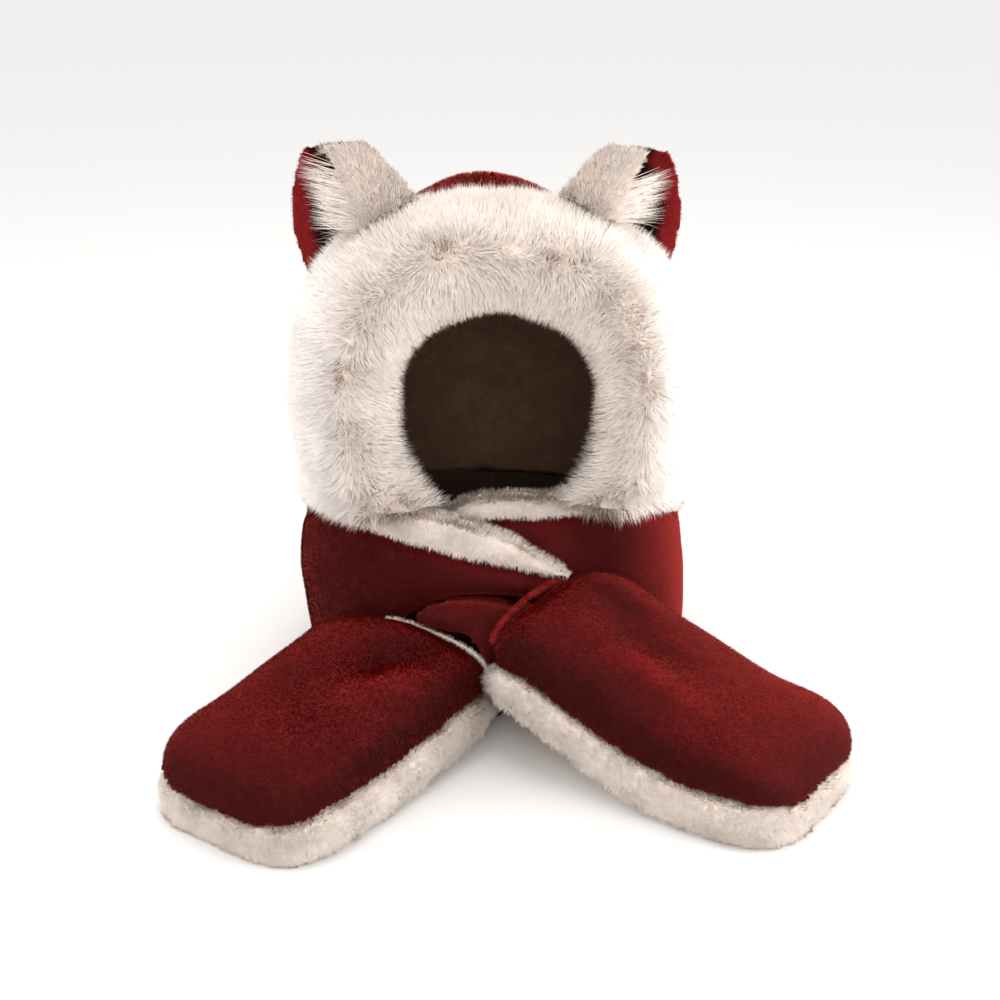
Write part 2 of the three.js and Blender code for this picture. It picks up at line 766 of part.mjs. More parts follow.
// TAILS
// The plush roll that leads from the crossing to the left pocket, and the short one that carries
// the right pocket. Places are shares of the neck's half width and half depth, width is a share of
// tailHalfWidth, the low and high edges are shares of tailHeight, and turn is in degrees.
const tailRows = {
  left: [
    { x: -0.08, y: -0.74, width: 0.84, low: 0.02, high: 0.88, turn: 0 },
    { x: -0.1, y: -1, width: 0.9, low: 0.02, high: 0.93, turn: -3 },
    { x: -0.12, y: -1.1, width: 1, low: 0.02, high: 1, turn: -8 },
    { x: -0.18, y: -1.2, width: 0.86, low: 0.03, high: 0.95, turn: -16 },
    { x: -0.25, y: -1.3, width: 0.72, low: 0.06, high: 0.74, turn: -26 },
    { x: -0.32, y: -1.38, width: 0.52, low: 0.12, high: 0.52, turn: -35 },
  ],
  right: [
    { x: 0.12, y: -0.96, width: 0.62, low: 0.5, high: 1, turn: 28 },
    { x: 0.16, y: -1.1, width: 0.75, low: 0.48, high: 0.98, turn: 38 },
    { x: 0.22, y: -1.2, width: 0.8, low: 0.5, high: 0.9, turn: 50 },
    { x: 0.28, y: -1.26, width: 0.7, low: 0.55, high: 0.75, turn: 55 },
  ],
};
const tailSides = 16;

function tailLoop(row, grow = 0) {
  const centre = point(row.x * neckHalfWidth, row.y * neckHalfDepth, 0);
  const right = point(Math.cos(radians(row.turn)), Math.sin(radians(row.turn)), 0);
  const middle = (row.low + row.high) / 2;
  const half = (row.high - row.low) / 2 + grow / tailHeight;
  const halfWidth = row.width * tailHalfWidth + grow;
  return steps(0, 360, tailSides)
    .slice(0, -1)
    .map((a) => {
      const c = Math.cos(radians(a));
      const s = Math.sin(radians(a));
      const across = Math.sign(c) * Math.abs(c) ** 0.75 * halfWidth;
      const height = (middle + half * Math.sign(s) * Math.abs(s) ** 0.75) * tailHeight;
      return centre.clone().addScaledVector(right, across).add(point(0, 0, height));
    });
}

const tail = (side, ...keepOut) =>
  mainBody(
    keepOut.reduce(
      (left, block) => left.subtract(block),
      solidOf(skin(tailRows[side].map((row) => tailLoop(row)))),
    ),
  );

const plush = { color: 0x6e1a1c, roughness: 0.9, metalness: 0 };
const fur = { color: 0xd9cdc3, roughness: 0.95, metalness: 0 };
const satin = { color: 0x30221a, roughness: 0.7, metalness: 0 };

const model = new THREE.Group();

function add(name, geometry, finish) {
  const mesh = new THREE.Mesh(geometry, new THREE.MeshStandardMaterial(finish));
  mesh.name = name;
  model.add(mesh);
}

const neckBlock = solidOf(neckKeepOut());
const ruff = mainBody(ruffSolid().subtract(neckBlock));
const ruffClear = ruffSolid(fitGap);
const column = solidOf(neckColumn());
const rightBlock = pocketBlock("right");
const leftKeepOut = column.add(rightBlock);

add("hood_crown", geometryOf(crownShell()), plush);
add("hood_lining", geometryOf(liningShell()), satin);
add("face_ruff", geometryOf(ruff), fur);
for (const [name, side] of [["left", -1], ["right", 1]]) {
  add(`${name}_ear_front`, geometryOf(earFront(side, ruffClear)), fur);
  add(`${name}_ear_back`, geometryOf(earBack(side, ruffClear)), plush);
}
add("neck_panel_left", roundTheNeck(panelLoop, leftPanelRows, panelEnds.left), plush);
add("neck_panel_right", roundTheNeck(panelLoop, rightPanelRows, panelEnds.right), plush);
add("neck_trim_left", roundTheNeck(trimLoop, leftPanelRows, trimEnds.left), fur);
add("neck_trim_right", roundTheNeck(trimLoop, rightPanelRows, trimEnds.right), fur);
for (const [side, keepOut, edging] of [["left", leftKeepOut, fur], ["right", column, plush]]) {
  add(`${side}_pocket_pad`, geometryOf(pocketPad(side, keepOut)), fur);
  add(`${side}_pocket_shell`, geometryOf(pocketDome(side).subtract(keepOut)), plush);
  add(`${side}_pocket_binding`, geometryOf(pocketBinding(side, keepOut)), edging);
}
const leftBlock = pocketBlock("left");
const leftPanelClear = solidOf(roundTheNeck(panelLoop, leftPanelRows, panelEnds.left, fitGap));
const rightPanelClear = solidOf(roundTheNeck(panelLoop, rightPanelRows, panelEnds.right, fitGap));
const panels = leftPanelClear.add(rightPanelClear);
const leftTail = tail("left", panels, leftBlock, wayIn("left", wayInLength), rightBlock);
const leftTailClear = solidOf(skin(tailRows.left.map((row) => tailLoop(row, fitGap))));
const rightTail = tail("right", panels, rightBlock, leftBlock, leftTailClear);
add("left_tail", geometryOf(leftTail), plush);
add("right_tail", geometryOf(rightTail), plush);

// The middle of the whole thing's floor area is the origin.
const bounds = new THREE.Box3().setFromObject(model);
const middle = bounds.getCenter(point(0, 0, 0));
model.children.forEach((mesh) => mesh.position.set(-middle.x, -middle.y, -bounds.min.z));

export default model;
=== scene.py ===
# %% [markdown]
# # An animal hood scarf in plush and long fur
# The real thing is sewn from two cloths: a short red plush, and a cream fur with a longer pile.
# The frame holds every solid at its true size, so this script never measures the hood again.
# It copies each solid, softens it, draws it in by the depth of its pile, and grows the pile on it.

# %% Load the frame and keep its box
import math

import bmesh
import bpy
import numpy as np
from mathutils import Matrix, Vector
from mathutils.bvhtree import BVHTree


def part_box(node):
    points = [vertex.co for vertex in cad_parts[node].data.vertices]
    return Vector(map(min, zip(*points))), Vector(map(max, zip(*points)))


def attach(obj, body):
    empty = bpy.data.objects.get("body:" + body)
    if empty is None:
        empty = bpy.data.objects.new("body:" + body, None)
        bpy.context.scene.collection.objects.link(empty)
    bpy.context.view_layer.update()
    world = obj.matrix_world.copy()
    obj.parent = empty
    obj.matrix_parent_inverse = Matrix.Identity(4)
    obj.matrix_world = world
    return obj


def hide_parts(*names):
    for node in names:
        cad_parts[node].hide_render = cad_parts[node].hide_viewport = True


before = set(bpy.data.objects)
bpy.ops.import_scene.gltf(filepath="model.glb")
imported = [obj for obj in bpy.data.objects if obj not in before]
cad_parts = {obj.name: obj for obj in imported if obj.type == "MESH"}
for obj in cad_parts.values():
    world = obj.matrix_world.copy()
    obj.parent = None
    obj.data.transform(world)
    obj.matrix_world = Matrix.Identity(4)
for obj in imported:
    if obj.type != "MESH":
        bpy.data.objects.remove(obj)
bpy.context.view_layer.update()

# %% [markdown]
# ## Where the parts of the hood are
# Fur needs directions: away from the face, towards the tip of a pocket, out from the neck.
# They are worked out from the boxes of the solids, with a few offsets that the source names too.
# The pockets lie at an angle, so the tip and the heading of each are repeated from the source.

# %% Find the middle of the neck, the face and the pockets
def corners(node):
    """The lowest and highest corner of a solid as two arrays, in metres."""
    low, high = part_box(node)
    return np.array(low), np.array(high)


neck_low = corners("neck_panel_left")[0]
neck_back = corners("neck_panel_right")[1]
NECK = np.array([neck_low[0] + 0.154, neck_back[1] - 0.119])
ring_low, ring_high = corners("face_ruff")
FACE = np.array([(ring_low[0] + ring_high[0]) / 2 + 0.003, ring_high[2] - 0.137])
POCKETS = {
    "left": {"tip": NECK + (-0.179, -0.294), "ahead": np.array([-0.574, -0.819]),
             "aside": np.array([0.819, -0.574]), "length": 0.212},
    "right": {"tip": NECK + (0.221, -0.258), "ahead": np.array([0.819, -0.574]),
              "aside": np.array([0.574, 0.819]), "length": 0.224},
}
print("neck:", NECK.round(3), "face:", FACE.round(3))

# %% [markdown]
# ## Finding what shows
# A hollow shell has an outside with pile and an inside with lining.
# The line from the hollow's middle to a point tells them apart: the outside faces along it.

# %% Directions that the pieces share
HEAD_MIDDLE = 0.26       # height of the ball in which the head ends
CREST = (0.108, 0.114)   # half width and half height of the ring's crest
POCKET_FLOOR = 0.02      # height of the line from which a pocket's outside faces away
HALF_POCKET = 0.075
DYED_FIBRE_IOR = 1.49


def unit(vectors):
    """Each row divided by its own length."""
    return vectors / np.maximum(np.linalg.norm(vectors, axis=1, keepdims=True), 1e-9)


def from_neck(points):
    """The level direction from the neck's upright axis to each point."""
    away = points.copy()
    away[:, :2] -= NECK
    away[:, 2] = 0
    return unit(away)


def from_head(points):
    """The direction to each point from the head's axis, which ends in the middle of a ball."""
    away = points.copy()
    away[:, :2] -= NECK
    away[:, 2] -= np.minimum(points[:, 2], HEAD_MIDDLE)
    return unit(away)


def from_face(points):
    """The upright direction away from the middle of the face, and how many times the crest's
    distance each point lies from it: the ring's crest is an ellipse of 108 by 114 mm."""
    away = np.zeros_like(points)
    away[:, 0] = points[:, 0] - FACE[0]
    away[:, 2] = points[:, 2] - FACE[1]
    reach = np.hypot(away[:, 0] / CREST[0], away[:, 2] / CREST[1])
    return unit(away), reach


def from_pocket(side):
    """A function for the direction from a pocket's long middle line, 20 mm over the table."""
    pocket = POCKETS[side]

    def away(points):
        flat = points[:, :2] - pocket["tip"]
        share = np.clip(flat @ pocket["ahead"], -0.19, -0.07)
        nearest = pocket["tip"] + share[:, None] * pocket["ahead"]
        found = np.column_stack([points[:, :2] - nearest, points[:, 2] - POCKET_FLOOR])
        return unit(found)

    return away


def on_pocket(side, points):
    """Where points lie on a pocket: the share of its length from mouth to tip, as the source
    counts it, and the distance aside of its middle line in half widths of 75 mm."""
    pocket = POCKETS[side]
    flat = points[:, :2] - pocket["tip"]
    along = 1 + flat @ pocket["ahead"] / pocket["length"]
    return along, flat @ pocket["aside"] / HALF_POCKET


def towards(direction, least):
    """A function that is true where a normal faces along direction(points) by at least least."""
    return lambda points, normals: (normals * direction(points)).sum(1) > least


def smooth(value, low, high):
    """0 below low, 1 above high, and in between t*t*(3-2t)."""
    share = np.clip((value - low) / (high - low), 0, 1)
    return share * share * (3 - 2 * share)


print("directions: neck, head, face, pockets")

# %% [markdown]
# ## One small tool for materials
# A material here is a few nodes in a row. One function adds a node, sets it and links it,
# and another turns the hex colours that a designer writes into the linear values of a shader.

# %% Colours and nodes
def linear(code):
    """Hex sRGB to linear: c/12.92 below 0.04045, else ((c + 0.055)/1.055) to the power 2.4."""
    parts = np.array([int(code[i:i + 2], 16) for i in (1, 3, 5)]) / 255
    curved = ((parts + 0.055) / 1.055) ** 2.4
    return (*np.where(parts < 0.04045, parts / 12.92, curved), 1.0)


def add(tree, kind, inputs=None, **settings):
    """Adds a node: settings are its own, inputs its sockets, a (node, output) pair is a link."""
    node = tree.nodes.new(kind)
    for name, value in settings.items():
        setattr(node, name, value)
    for name, value in (inputs or {}).items():
        if isinstance(value, tuple) and isinstance(value[0], bpy.types.Node):
            tree.links.new(value[0].outputs[value[1]], node.inputs[name])
        else:
            node.inputs[name].default_value = value
    return node


def blank(name):
    """A new material with nodes, and its tree emptied."""
    material = bpy.data.materials.new(name)
    material.use_nodes = True
    material.node_tree.nodes.clear()
    return material, material.node_tree


def blend(tree, factor, first, second):
    """A colour mix node: first where factor is 0, second where it is 1."""
    return add(tree, "ShaderNodeMix", {0: factor, 6: first, 7: second}, data_type="RGBA")


def patches(tree, size_mm, low, high, detail=2.0):
    """Cloudy patches about size_mm across, spread from 0 to 1 between the values low and high."""
    place = add(tree, "ShaderNodeTexCoord")
    cloud = add(tree, "ShaderNodeTexNoise", {
        "Vector": (place, "Object"), "Scale": 1000 / size_mm, "Detail": detail})
    return add(tree, "ShaderNodeMapRange", {
        "Value": (cloud, "Fac"), "From Min": low, "From Max": high})


def mottled(tree):
    """How light the cloth is, about 1: patches of 28 mm where hands have turned the pile, times
    tufts of 5 mm that stand a little apart."""
    wide = add(tree, "ShaderNodeMapRange", {
        "Value": (patches(tree, 28, 0.3, 0.7), 0), "To Min": 0.9, "To Max": 1.1})
    small = add(tree, "ShaderNodeMapRange", {
        "Value": (patches(tree, 5, 0.3, 0.7, 3.0), 0), "To Min": 0.91, "To Max": 1.09})
    return add(tree, "ShaderNodeMath", {0: (wide, 0), 1: (small, 0)}, operation="MULTIPLY")


print("nodes: add, blend, patches, mottled")

# %% [markdown]
# ## The pile: acrylic fur and polyester plush
# A fur fibre is darker at its root, where others shade it, and pale at its tip.
# Each hair carries a UV: u is its own random number and v runs from root to tip.
# An attribute paints light and shade into the colour: the fur is painted paler on the sides of
# the ring, as painted light, and the plush is painted darker on steep walls, as painted shade.
# Dyed acrylic has an IOR of about 1.49. A whole pile is
# dull, because its fibres shade each other: a roughness of 0.7 to 0.8, little gloss, some sheen.

# %% Make the pile materials
def pile_material(name, root, tip, painted_colour, spread, rough, gloss, sheen, sheen_colour):
    """Hair: root to tip along v, blended towards a painted colour where the painted shading is 1,
    paler for painted light and darker for painted shade, and each hair lighter or darker by
    spread. The patches are 28 mm across, like handled fur. Gloss is the share of the
    mirror-like part, 0.5 for a bare plastic fibre and less where fibres shade each other."""
    material, tree = blank(name)
    strand = add(tree, "ShaderNodeUVMap", uv_map="strand")
    along = add(tree, "ShaderNodeSeparateXYZ", {"Vector": (strand, "UV")})
    painted_shading = add(tree, "ShaderNodeAttribute", attribute_name="painted_shading")
    rise = add(tree, "ShaderNodeMath", {0: (along, "Y"), 1: 0.7}, operation="POWER")
    plain = blend(tree, (rise, 0), linear(root), linear(tip))
    # Painted light and shade: the hair's colour is blended towards the painted colour.
    hair = blend(tree, (painted_shading, "Fac"), (plain, 2), linear(painted_colour))
    own = add(tree, "ShaderNodeMapRange", {
        "Value": (along, "X"), "To Min": 1 - spread, "To Max": 1 + spread})
    handled = mottled(tree)
    both = add(tree, "ShaderNodeMath", {0: (own, 0), 1: (handled, 0)}, operation="MULTIPLY")
    final = add(tree, "ShaderNodeHueSaturation", {"Color": (hair, 2), "Value": (both, 0)})
    shader = add(tree, "ShaderNodeBsdfPrincipled", {
        "Base Color": (final, 0), "Roughness": rough, "IOR": DYED_FIBRE_IOR,
        "Specular IOR Level": gloss,
        "Sheen Weight": sheen, "Sheen Roughness": 0.5, "Sheen Tint": linear(sheen_colour)})
    add(tree, "ShaderNodeOutputMaterial", {"Surface": (shader, "BSDF")})
    return material


# The third colour of each pile is painted: a paler cream is painted light on the ring's sides, and
# a near black is painted shade on the red plush.
cream_hair = pile_material("acrylic_fur_cream", "#e2d3c7", "#f1e6dd", "#f7efea",
                           0.05, 0.7, 0.25, 0.2, "#fff4ec")
# The ears' fur is the cream fur painted darker, as painted shade on the ears.
ear_hair_painted_shade = pile_material("acrylic_fur_cream_ears_painted_shade", "#d0c1b5", "#dfd1c6", "#dfd1c6",
                         0.05, 0.7, 0.25, 0.2, "#fff4ec")
fleece_hair = pile_material("acrylic_fleece_cream", "#dccdc1", "#e9ddd3", "#f7efea",
                            0.04, 0.75, 0.2, 0.2, "#fff4ec")
red_hair = pile_material("polyester_plush_red", "#761618", "#8a2322", "#1a0507",
                         0.13, 0.8, 0.08, 0.6, "#d8503c")
print("piles:", cream_hair.name, fleece_hair.name, red_hair.name)

# %% [markdown]
# ## The cloth under the pile
# Between the hairs the knitted backing shows, in the same dye.
# Its bumps are the feet of the tufts, which are 1.2 mm apart here: the real 0.6 mm would not show.
# The inside of the hood, the panels and the pockets is a brushed knit in brown.

# %% Make the backing and lining materials
def cloth_material(name, dark, light, tuft_mm, depth, rough, gloss, sheen, sheen_colour):
    """Cloth: two colours in 14 mm patches and fine speckles, mottled like the pile on it. The
    tufts are a bump. It is painted towards near black by its painted shading, as painted shade,
    as in an ear's hollow."""
    material, tree = blank(name)
    area = patches(tree, 14, 0.3, 0.7, 4.0)
    fleck = patches(tree, tuft_mm, 0.3, 0.7, 1.0)
    speck = add(tree, "ShaderNodeMath", {0: (fleck, 0), 1: 0.5}, operation="MULTIPLY")
    mixed = add(tree, "ShaderNodeMath", {0: (area, 0), 1: (speck, 0), 2: 0.5},
                operation="MULTIPLY_ADD")
    plain = blend(tree, (mixed, 0), linear(dark), linear(light))
    painted_shading = add(tree, "ShaderNodeAttribute", attribute_name="painted_shading")
    # Painted shade: the cloth's colour is blended towards near black.
    shaded = blend(tree, (painted_shading, "Fac"), (plain, 2), linear("#170708"))
    colour = add(tree, "ShaderNodeHueSaturation", {
        "Color": (shaded, 2), "Value": (mottled(tree), 0)})
    bump = add(tree, "ShaderNodeBump", {
        "Height": (fleck, 0), "Strength": 0.6, "Distance": depth / 1000})
    shader = add(tree, "ShaderNodeBsdfPrincipled", {
        "Base Color": (colour, 0), "Roughness": rough, "IOR": 1.5, "Normal": (bump, 0),
        "Specular IOR Level": gloss,
        "Sheen Weight": sheen, "Sheen Roughness": 0.45, "Sheen Tint": linear(sheen_colour)})
    add(tree, "ShaderNodeOutputMaterial", {"Surface": (shader, "BSDF")})
    return material


red_backing = cloth_material("knit_backing_red", "#6a1315", "#8c2222", 1.2, 0.3,
                             0.85, 0.08, 0.35, "#d8503c")
cream_backing = cloth_material("knit_backing_cream", "#dbcdc1", "#ece0d6", 1.4, 0.3,
                               0.85, 0.25, 0.2, "#fff0e8")
brown_lining = cloth_material("brushed_knit_brown", "#4a3527", "#654a38", 2.2, 0.3,
                              0.9, 0.3, 0.15, "#8b7262")
print("cloths:", red_backing.name, cream_backing.name, brown_lining.name)

# %% [markdown]
# ## A soft copy of a solid
# The solids are faceted, and padding is not. A voxel remesh turns a copy into even small faces,
# and smoothing rounds them. The copy is then drawn in, so the pile's tips come out where the
# solid's surface was. Cloth simulation was left out: it would swell these hollow shells shut,
# and the dents and folds are known, so they are pushed in by a formula.

# %% Make the soft copies
def merged(node, name):
    """A copy of a solid's mesh with its doubled corners joined, as a new piece."""
    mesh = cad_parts[node].data.copy()
    build = bmesh.new()
    build.from_mesh(mesh)
    bmesh.ops.remove_doubles(build, verts=build.verts, dist=1e-6)
    build.to_mesh(mesh)
    build.free()
    mesh.materials.clear()
    piece = bpy.data.objects.new(name, mesh)
    bpy.context.scene.collection.objects.link(piece)
    return piece


def apply_modifiers(piece):
    """Puts the result of the live modifiers into the mesh, and takes them off."""
    graph = bpy.context.evaluated_depsgraph_get()
    mesh = bpy.data.meshes.new_from_object(piece.evaluated_get(graph))
    piece.modifiers.clear()
    piece.data = mesh
    mesh.name = piece.name


def points_of(mesh):
    """The points and their normals as two arrays."""
    places = np.empty(len(mesh.vertices) * 3)
    mesh.vertices.foreach_get("co", places)
    normals = np.empty(len(mesh.vertices) * 3)
    mesh.vertex_normals.foreach_get("vector", normals)
    return places.reshape(-1, 3), normals.reshape(-1, 3)


def finish_piece(piece, node):
    """Every soft copy is shaded smooth, rides on the one body and stands for its solid."""
    piece.data.shade_smooth()
    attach(piece, "root")
    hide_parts(node)


def soft_copy(node, name, outer, inner=None, inset=0.002, voxel=0.004, rounds=5,
              shows=None, shape=None):
    """A remeshed copy: each point that shows moves inset inwards, then by shape(points,
    normals). Faces that don't show get the material inner."""
    piece = merged(node, name)
    grid = piece.modifiers.new("even_faces", "REMESH")
    grid.mode = "VOXEL"
    grid.voxel_size = voxel
    ease = piece.modifiers.new("rounding", "SMOOTH")
    ease.iterations = rounds
    apply_modifiers(piece)
    points, normals = points_of(piece.data)
    pressed = np.ones(len(points)) if shows is None else shows(points, normals)
    moved = points - normals * (pressed * inset)[:, None]
    if shape:
        moved = moved + shape(points, normals)
    moved[:, 2] = np.maximum(moved[:, 2], 0.0004)
    piece.data.vertices.foreach_set("co", moved.ravel())
    piece.data.update()
    piece.data.materials.append(outer)
    if inner:
        piece.data.materials.append(inner)
        faces = len(piece.data.polygons)
        middle = np.empty(faces * 3)
        piece.data.polygons.foreach_get("center", middle)
        facing = np.empty(faces * 3)
        piece.data.polygons.foreach_get("normal", facing)
        hidden = ~shows(middle.reshape(-1, 3), facing.reshape(-1, 3))
        piece.data.polygons.foreach_set("material_index", hidden.astype(np.int32))
    finish_piece(piece, node)
    print(name, len(piece.data.polygons), "faces")
    return piece


# %% [markdown]
# ## Folds that padding makes
# Thick padded cloth has no sharp creases. It has long soft swells with a shallow valley between.
# A sum of a few sine waves in different directions gives such swells, the same in every run.

# %% Swells and folds
def waves(points, size, seed, count=7):
    """A smooth field from -1 to 1: the mean of count sine waves about size long, in seeded
    directions, and its slope at each point."""
    chance = np.random.default_rng(seed)
    turns = unit(chance.normal(size=(count, 3))) * (2 * math.pi / size)
    turns *= chance.uniform(0.7, 1.4, (count, 1))
    phase = points @ turns.T + chance.uniform(0, 2 * math.pi, count)
    return np.sin(phase).mean(1) * 1.6, unit(np.cos(phase) @ turns + 1e-9)


def swells(size, depth, seed, shows, seam=None):
    """A shape for soft_copy: the outside moves by waves of that size and depth, in metres.
    Where seam(points, normals) is true the cloth moves out, into its neighbour: by 0.9 mm, and
    by up to 6 mm at the middle of the back and beside the ring. So the panels' ends overlap
    by 10 mm."""
    def shape(points, normals):
        height, _ = waves(points, size, seed)
        move = height * depth * shows(points, normals)
        if seam:
            corner = np.exp(-((points[:, 0] - NECK[0]) / 0.01) ** 2)
            corner += 0.7 * np.exp(-((points[:, 1] - ring_high[1]) / 0.02) ** 2)
            move = np.where(seam(points, normals), 0.0009 + 0.005 * corner, move)
        return normals * move[:, None]
    return shape


print("waves:", waves(np.zeros((1, 3)), 0.03, 1)[0].round(3))

# %% Soft copies of the hood, the ring and the ears
head_side = towards(from_head, 0.05)


def ring_shows(points, normals):
    """Not the ring's back where it lies on the crown, nor the face's tunnel behind its lip."""
    away, reach = from_face(points)
    behind = ((normals[:, 1] > 0.8) | (points[:, 1] > 0.096)) & (reach < 1.12)
    tunnel = ((normals * away).sum(1) < -0.3) & (points[:, 1] > 0.03)
    return ~(behind | tunnel)


def ring_drawn(points, normals):
    """Where the ring is drawn in: not at its two ends, which rest on the trims."""
    ends = (normals[:, 2] < -0.4) & (points[:, 2] < ring_low[2] + 0.05)
    return ring_shows(points, normals) & ~ends


def ring_swells(points, normals):
    """The ring's locks: swells 50 mm long and 2.5 mm deep where it is drawn in. Elsewhere it
    moves 0.5 mm out, towards the crown and the trims, and stays just clear of them."""
    height = waves(points, 0.05, 5)[0] * 0.0025
    return normals * np.where(ring_drawn(points, normals), height, 0.0005)[:, None]


def nape_seam(points, normals):
    """The crown's lower edge, which is sewn to the neck panels."""
    return (normals[:, 2] < -0.5) & (points[:, 2] < 0.13)


crown = soft_copy("hood_crown", "crown_plush", red_backing, red_backing,
                  shows=head_side, inset=0.0025, voxel=0.006,
                  shape=swells(0.11, 0.0025, 3, head_side, nape_seam))
ring = soft_copy("face_ruff", "ring_backing", cream_backing, shows=ring_drawn,
                 inset=0.006, voxel=0.005, rounds=8, shape=ring_swells)
ears = {}


def behind_fur(side):
    """The plush leaf's upper and inner edges lie 4 mm inside those of the fur leaf."""
    outwards = -1 if side == "left" else 1

    def shape(points, normals):
        edge = (np.abs(normals[:, 1]) < 0.75) & (normals[:, 0] * outwards < 0.6)
        return normals * np.where(edge & (normals[:, 2] > -0.3), -0.004, 0)[:, None]
    return shape


for side in ("left", "right"):
    ears[side, "front"] = soft_copy(side + "_ear_front", side + "_ear_fur_leaf",
                                    cream_backing, inset=0.003, voxel=0.003, rounds=8)
    ears[side, "back"] = soft_copy(side + "_ear_back", side + "_ear_plush_leaf",
                                   red_backing, inset=0.001, voxel=0.003, rounds=6,
                                   shape=behind_fur(side))

# %% Soft copies of the neck panels and their trims
neck_side = towards(from_neck, 0.15)


def neck_seam(points, normals):
    """The ends of the panels at the back, and the edge under the crown: both are sewn."""
    ends = (np.abs(normals[:, 2]) < 0.5) & (np.abs((normals * from_neck(points)).sum(1)) < 0.5)
    back = points[:, 1] > NECK[1]
    return back & (ends | (normals[:, 2] > 0.5))


def trim_drawn(points, normals):
    """Where a trim is drawn in: not on the neck's side, nor at its end under the ring."""
    under_ring = (points[:, 1] > ring_low[1] + 0.05) & (normals[:, 2] > 0.3)
    return towards(from_neck, -0.2)(points, normals) & ~under_ring


def to_the_crown(points, normals):
    """The last 20 mm of a trim reach 9 mm further back and 4 mm up, towards the crown's edge.
    They end 6 mm short of it on the left and 9 mm on the right."""
    end = corners("neck_trim_left")[1][1]
    share = smooth(points[:, 1], end - 0.02, end)
    return share[:, None] * np.array([0, 0.009, 0.004])


panels = {}
trims = {}
for side in ("left", "right"):
    panels[side] = soft_copy("neck_panel_" + side, "neck_plush_" + side,
                             red_backing, brown_lining, shows=neck_side, inset=0.0022,
                             voxel=0.006, rounds=5,
                             shape=swells(0.13, 0.004, 11, neck_side, neck_seam))
    trims[side] = soft_copy("neck_trim_" + side, "trim_backing_" + side,
                            cream_backing, shows=trim_drawn, inset=0.0035, voxel=0.003,
                            rounds=8, shape=to_the_crown)

# %% Soft copies of the pockets and the tails
# The folds of the pockets: their place along and aside, their spread in the same two shares,
# and their depth in mm, as in the source. Ridges are negative.
FOLDS = {
    "left": np.array([[0.29, 0.22, 0.10, 0.22, 7], [0.17, 0.44, 0.10, 0.22, 6],
                      [0.44, 0.38, 0.11, 0.20, -3], [0.31, 0.58, 0.10, 0.20, -4],
                      [0.52, -0.20, 0.14, 0.26, 3]]),
    "right": np.array([[0.22, 0.22, 0.13, 0.22, 7], [0.39, -0.04, 0.12, 0.20, 6],
                       [0.42, -0.32, 0.10, 0.18, -4], [0.58, -0.40, 0.12, 0.18, -3]]),
}


def fold_depth(side, points):
    """The depth of a pocket's folds in mm: the sum of depth * exp(-(a*a + b*b))."""
    share, across = on_pocket(side, points)
    place, spread, depth = np.split(FOLDS[side], [2, 4], axis=1)
    a = (share[:, None] - place[:, 0]) / spread[:, 0]
    b = (across[:, None] - place[:, 1]) / spread[:, 1]
    return (np.exp(-(a * a + b * b)) * depth[:, 0]).sum(1)


def folded(side):
    """The shape of a pocket's dome: swells, and the solid's folds once more, so that the ridges
    stand 50% higher and the valleys lie 10% deeper."""
    swell = swells(0.09, 0.0025, 21, dome_side[side])

    def shape(points, normals):
        depth = fold_depth(side, points) / 1000
        again = depth * np.where(depth < 0, 0.5, 0.1) * dome_side[side](points, normals)
        return swell(points, normals) - normals * again[:, None]
    return shape


def pad_side(side):
    """True on a pad's outside, but not on the face that lies on the table."""
    away = towards(from_pocket(side), 0.15)
    return lambda points, normals: away(points, normals) & (normals[:, 2] > -0.75)


def up_to_the_panel(points, normals):
    """A tail's upper edge swells by 7 mm, to just under the panel that it comes out from."""
    high = smooth(points[:, 2], 0.045, 0.08) * (normals[:, 2] > -0.5)
    return high[:, None] * np.array([0, 0, 0.007])


edging = {
    "left": ("cream_fur", cream_backing, fleece_hair),
    "right": ("red_plush", red_backing, red_hair),
}
domes = {}
pads = {}
cords = {}
tails = {}
dome_side = {side: towards(from_pocket(side), 0.1) for side in POCKETS}
for side in ("left", "right"):
    domes[side] = soft_copy(side + "_pocket_shell", side + "_pocket_plush",
                            red_backing, brown_lining, shows=dome_side[side], inset=0.0025,
                            voxel=0.0035, rounds=8, shape=folded(side))
    pads[side] = soft_copy(side + "_pocket_pad", side + "_pocket_fleece",
                           cream_backing, shows=pad_side(side), inset=0.0035, voxel=0.005,
                           rounds=5)
    cords[side] = soft_copy(side + "_pocket_binding", side + "_pocket_cord",
                            edging[side][1], inset=0.0004, voxel=0.0012, rounds=4)
    tails[side] = soft_copy(side + "_tail", side + "_tail_plush", red_backing,
                            inset=0.0015, rounds=8,
                            shape=up_to_the_panel if side == "left" else None)

# %% [markdown]
# ## The lining
# The lining is one thin sheet sewn in along the ring, so it has the crown's shape on its inside.
# It is too thin for a voxel remesh, so its copy is subdivided and gets small slack creases.
# Its cut measures 0.35 m round the head from edge to edge, and 0.32 m from the hem up and over.

# %% Make the lining
lining = merged("hood_lining", "lining_cloth")
lining.modifiers.new("finer", "SUBSURF").levels = 1
apply_modifiers(lining)
lining_points, _ = points_of(lining.data)
NECK_TOP = corners("neck_panel_left")[1][2]
print("lining from", lining_points.min(0).round(4), "panel top", round(NECK_TOP, 4))
slack = waves(lining_points, 0.045, 31)[0] * 0.0006
lap = 1 - smooth(lining_points[:, 2], lining_points[:, 2].min(), NECK_TOP + 0.006)
inward = -from_head(lining_points) * (slack + 0.0006 + 0.003 * lap)[:, None]
inward[:, 2] -= 0.009 * lap
lining.data.vertices.foreach_set("co", (lining_points + inward).ravel())
lining.data.update()
lining.data.materials.append(brown_lining)
lining.data.shade_smooth()
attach(lining, "root")
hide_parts("hood_lining")

